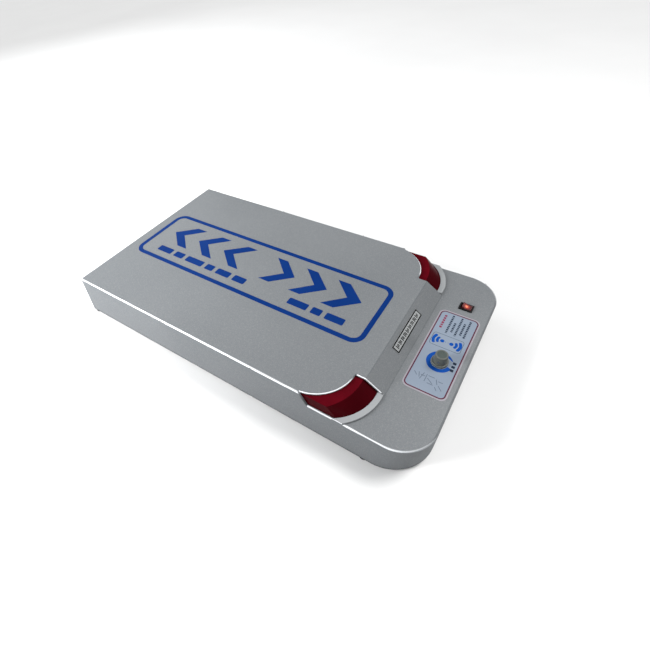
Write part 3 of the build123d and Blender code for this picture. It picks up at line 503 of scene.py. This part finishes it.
# field and border
knob_c = P(602.8, 151.95)
field = rounded(*area(573.6, 627.4, 96.0, 249.0, 6.6), n=10)
flat_piece("label_field", [field], LZ, INK * 0.6, INK_BLUE_FIELD)
flat_piece("label_border", [rounded_band(*area(572.0, 629.0, 94.4, 250.6, 7.6), 1.75, n=10)], LZ, INK * 1.5, INK_RED)
Z1 = LZ + INK * 0.6


def bars_along_y(x, y0, y1, w, seed, lo=1.6, hi=4.4, gap=0.9):
    """A column of short bars where a line of text would run along Y."""
    out = []
    y = y1
    k = seed
    while y > y0 + 1.0:
        k = (k * 1103515245 + 12345) % 2147483648
        h = lo + (hi - lo) * ((k >> 8) % 1000) / 1000.0
        ya = max(y - h, y0)
        if y - ya > 0.8:
            a, b = P(x - w / 2, ya), P(x + w / 2, y)
            out.append(rounded(a[0], b[0], a[1], b[1], min(0.5, (y - ya) / 2.2), n=4))
        y = ya - gap
    return out


flat_piece("label_heading", bars_along_y(581.4, 211, 242, 3.5, 7, 3.0, 4.2, 1.5), Z1, INK, INK_HEAD)
cols = []
for i, (cx, ya, yb) in enumerate(((592.0, 207, 246), (598.5, 212, 232), (605.0, 207, 246), (611.5, 212, 237), (617.6, 207, 245))):
    cols += bars_along_y(cx, ya, yb, 3.0, 31 + 17 * i, 1.9, 3.1, 1.15)
flat_piece("label_text_bars", cols, Z1, INK, INK_DARK)
flat_piece("label_signal_box", [rounded_band(*area(577.0, 622.2, 177.5, 202.6, 4.0), 0.75, n=8)], Z1, INK, INK_GREY)
sig = []
cl, cr = P(593.5, 190.0), P(606.0, 190.0)
sig.append(arc_bar(cl[0], cl[1], 11.0, 15.4, 180 - 31, 180 + 31))
sig.append(arc_bar(cl[0], cl[1], 5.4, 9.4, 180 - 31, 180 + 31))
sig.append(circle(cl[0] - 0.4, cl[1], 3.0, 28))
sig.append(arc_bar(cr[0], cr[1], 11.0, 15.4, -31, 31))
sig.append(arc_bar(cr[0], cr[1], 5.4, 9.4, -31, 31))
sig.append(circle(cr[0] + 0.4, cr[1], 3.0, 28))
for px in (598.0, 601.6):
    c = P(px, 190.0)
    sig.append(circle(c[0], c[1], 0.55, 16))
flat_piece("label_signal_marks", sig, Z1, INK, INK_BLUE)


def crescent(cx, cy, n=64):
    """Scale crescent: a thin point at +27 degrees, growing anticlockwise to a full end at -15."""
    outer, inner = [], []
    a0, a1 = 27.0, 345.0
    for i in range(n + 1):
        s = i / n
        a = math.radians(a0 + (a1 - a0) * s)
        deg = 318.0 * s
        w = 3.6 * min(deg / 22.0, 1.0) ** 0.75 + 2.2 * min(max((deg - 22.0) / 120.0, 0.0), 1.0)
        ro = 18.3
        outer.append((cx + ro * math.cos(a), cy + ro * math.sin(a)))
        inner.append((cx + (ro - w) * math.cos(a), cy + (ro - w) * math.sin(a)))
    return outer + list(reversed(inner))


flat_piece("label_dial_crescent", [crescent(*knob_c)], Z1, INK, INK_BLUE)
marks = []
for yy in (158.6, 152.0, 145.4):
    a, b = P(619.4, yy - 2.1), P(624.2, yy + 2.1)
    marks.append(rounded(a[0], b[0], a[1], b[1], 0.5, n=4))
flat_piece("label_scale_bars", marks, Z1, INK, INK_DARK)



def stroke(x0, y0, x1, y1, w):
    """A straight pen stroke between two label positions."""
    a, b = P(x0, y0), P(x1, y1)
    dx, dy = b[0] - a[0], b[1] - a[1]
    n = math.hypot(dx, dy)
    ux, uy = dx / n * w / 2, dy / n * w / 2
    return [(a[0] - ux + uy, a[1] - uy - ux), (b[0] + ux + uy, b[1] + uy - ux), (b[0] + ux - uy, b[1] + uy + ux), (a[0] - ux - uy, a[1] - uy + ux)]


strokes = [stroke(*q, 0.75) for q in (
    (579.0, 121.0, 583.5, 116.5), (585.0, 122.5, 587.5, 115.0), (588.8, 119.5, 594.5, 119.5), (591.5, 124.0, 589.2, 112.5),
    (596.0, 123.5, 596.0, 111.5), (598.5, 122.5, 606.5, 122.5), (598.5, 117.8, 606.5, 112.0), (600.5, 110.5, 608.0, 110.5),
    (609.5, 121.0, 612.8, 114.0), (613.0, 119.5, 618.6, 119.5), (615.0, 112.8, 620.8, 107.0), (611.5, 108.5, 615.0, 104.5))]
flat_piece("label_diagram", strokes, Z1, INK, INK_PALE)

# nameplate on the slope: dark outline and nine marks of plain bars
slope_t, slope_b = Vector((0.2154, 0, 0.0767)), Vector((0.2440, 0, 0.0580))
sd = (slope_b - slope_t).normalized()
sn = Vector((-(slope_b - slope_t).z, 0, (slope_b - slope_t).x)).normalized()
pc = slope_t + sd * 0.0146 + Vector((0, 0.0022, 0)) + sn * 0.0006
place = Matrix(((sd.x, 0, sn.x, pc.x), (0, 1, 0, pc.y), (sd.z, 0, sn.z, pc.z), (0, 0, 0, 1)))
flat_piece("nameplate_outline", [rounded_band(-6.8, 6.8, -42.8, 42.8, 0.8, 1.95, n=6)], 0.0, INK, INK_BLACK, place=place)
blocks = []
for i in range(9):
    yc = -34.0 + i * 8.5
    k = (i * 7 + 3) % 4
    blocks.append(rounded(-3.4, 3.4, yc - 3.1, yc - 1.6, 0.4, n=4))
    blocks.append(rounded(-3.4 + 0.5 * k, 2.4, yc - 0.8, yc + 0.7, 0.4, n=4))
    blocks.append(rounded(-2.6, 3.4 - 0.5 * k, yc + 1.5, yc + 3.0, 0.4, n=4))
flat_piece("nameplate_blocks", blocks, 0.0, INK, INK_BLACK, place=place)

# ---------------------------------------------------------------------------
# stage, lights, camera
# ---------------------------------------------------------------------------
bm = bmesh.new()
bmesh.ops.create_grid(bm, x_segments=2, y_segments=2, size=30.0)
me = bpy.data.meshes.new("floor")
bm.to_mesh(me)
bm.free()
floor = bpy.data.objects.new("floor", me)
bpy.context.scene.collection.objects.link(floor)
ft = Tree("pale_floor")
ft.set(Base_Color=ft.mix(ft.range(ft.noise(3.0, 3.0), 0.3, 0.7), (0.71, 0.71, 0.71), (0.73, 0.73, 0.73)), Roughness=0.85)
me.materials.append(ft.mat)

world = bpy.data.worlds.new("studio")
bpy.context.scene.world = world
world.use_nodes = True
world.node_tree.nodes["Background"].inputs["Color"].default_value = (0.93, 0.97, 1.0, 1)
world.node_tree.nodes["Background"].inputs["Strength"].default_value = 0.25


def area_light(name, loc, target, size, power, color=(1, 1, 1)):
    ld = bpy.data.lights.new(name, "AREA")
    ld.shape = "RECTANGLE"
    ld.size, ld.size_y = size
    ld.energy = power
    ld.color = color
    ob = bpy.data.objects.new(name, ld)
    ob.location = loc
    ob.rotation_euler = (Vector(target) - Vector(loc)).to_track_quat("-Z", "Y").to_euler()
    ob.visible_camera = False
    bpy.context.scene.collection.objects.link(ob)
    return ob


sun_data = bpy.data.lights.new("overhead_soft", "SUN")
sun_data.energy = 3.4
sun_data.angle = 0.5
sun_data.color = (1.0, 0.99, 0.98)
sun = bpy.data.objects.new("overhead_soft", sun_data)
sun.rotation_euler = Vector((0.30, 0.52, 0.80)).to_track_quat("Z", "Y").to_euler()
bpy.context.scene.collection.objects.link(sun)
area_light("left_soft", (-1.9, 0.55, 1.35), (-0.2, 0.0, 0.05), (1.7, 1.5), 23, (0.97, 0.99, 1.0))
area_light("back_soft", (0.08, 0.75, 1.55), (0.22, -0.10, 0.05), (0.55, 0.45), 0.8, (0.98, 0.99, 1.0))
area_light("front_strip", (-0.4, -1.6, 1.15), (-0.05, -0.12, 0.05), (2.0, 0.30), 1.5, (1.0, 1.0, 1.0))
area_light("right_low", (1.75, -0.40, 0.24), (0.30, -0.12, 0.03), (0.30, 0.9), 9, (1.0, 1.0, 1.0))
area_light("right_strip", (1.45, -1.15, 0.85), (0.2, -0.12, 0.05), (1.0, 0.25), 2, (1.0, 1.0, 1.0))
spot_data = bpy.data.lights.new("front_left_key", "SPOT")
spot_data.energy = 400
spot_data.spot_size = math.radians(44)
spot_data.spot_blend = 1.0
spot_data.shadow_soft_size = 0.48
spot = bpy.data.objects.new("front_left_key", spot_data)
spot.location = (-1.15, -1.15, 0.62)
spot.rotation_euler = (Vector((-0.36, -0.19, 0.02)) - spot.location).to_track_quat("-Z", "Y").to_euler()
bpy.context.scene.collection.objects.link(spot)

cam_data = bpy.data.cameras.new("camera")
cam = bpy.data.objects.new("camera", cam_data)
bpy.context.scene.collection.objects.link(cam)
az, el, roll = 0.65722047, 0.85963975, -0.10835357
fw = Vector((-math.sin(az) * math.cos(el), math.cos(az) * math.cos(el), -math.sin(el)))
rt = fw.cross(Vector((0, 0, 1))).normalized()
up = rt.cross(fw)
r2 = rt * math.cos(roll) + up * math.sin(roll)
u2 = -rt * math.sin(roll) + up * math.cos(roll)
loc = Vector((0.637095 - 0.3166, -0.202705 - 0.17245, 0.499348 + 0.005))
cam.matrix_world = Matrix(((r2.x, u2.x, -fw.x, loc.x), (r2.y, u2.y, -fw.y, loc.y), (r2.z, u2.z, -fw.z, loc.z), (0, 0, 0, 1)))
cam_data.sensor_width = 36.0
cam_data.lens = 382.4771 / 650.0 * 36.0
cam_data.shift_x = (325.0 - 300.0) / 650.0
cam_data.shift_y = (332.0 - 325.0) / 650.0
cam_data.clip_start = 0.01
bpy.context.scene.camera = cam
bpy.context.scene.view_settings.view_transform = "Standard"
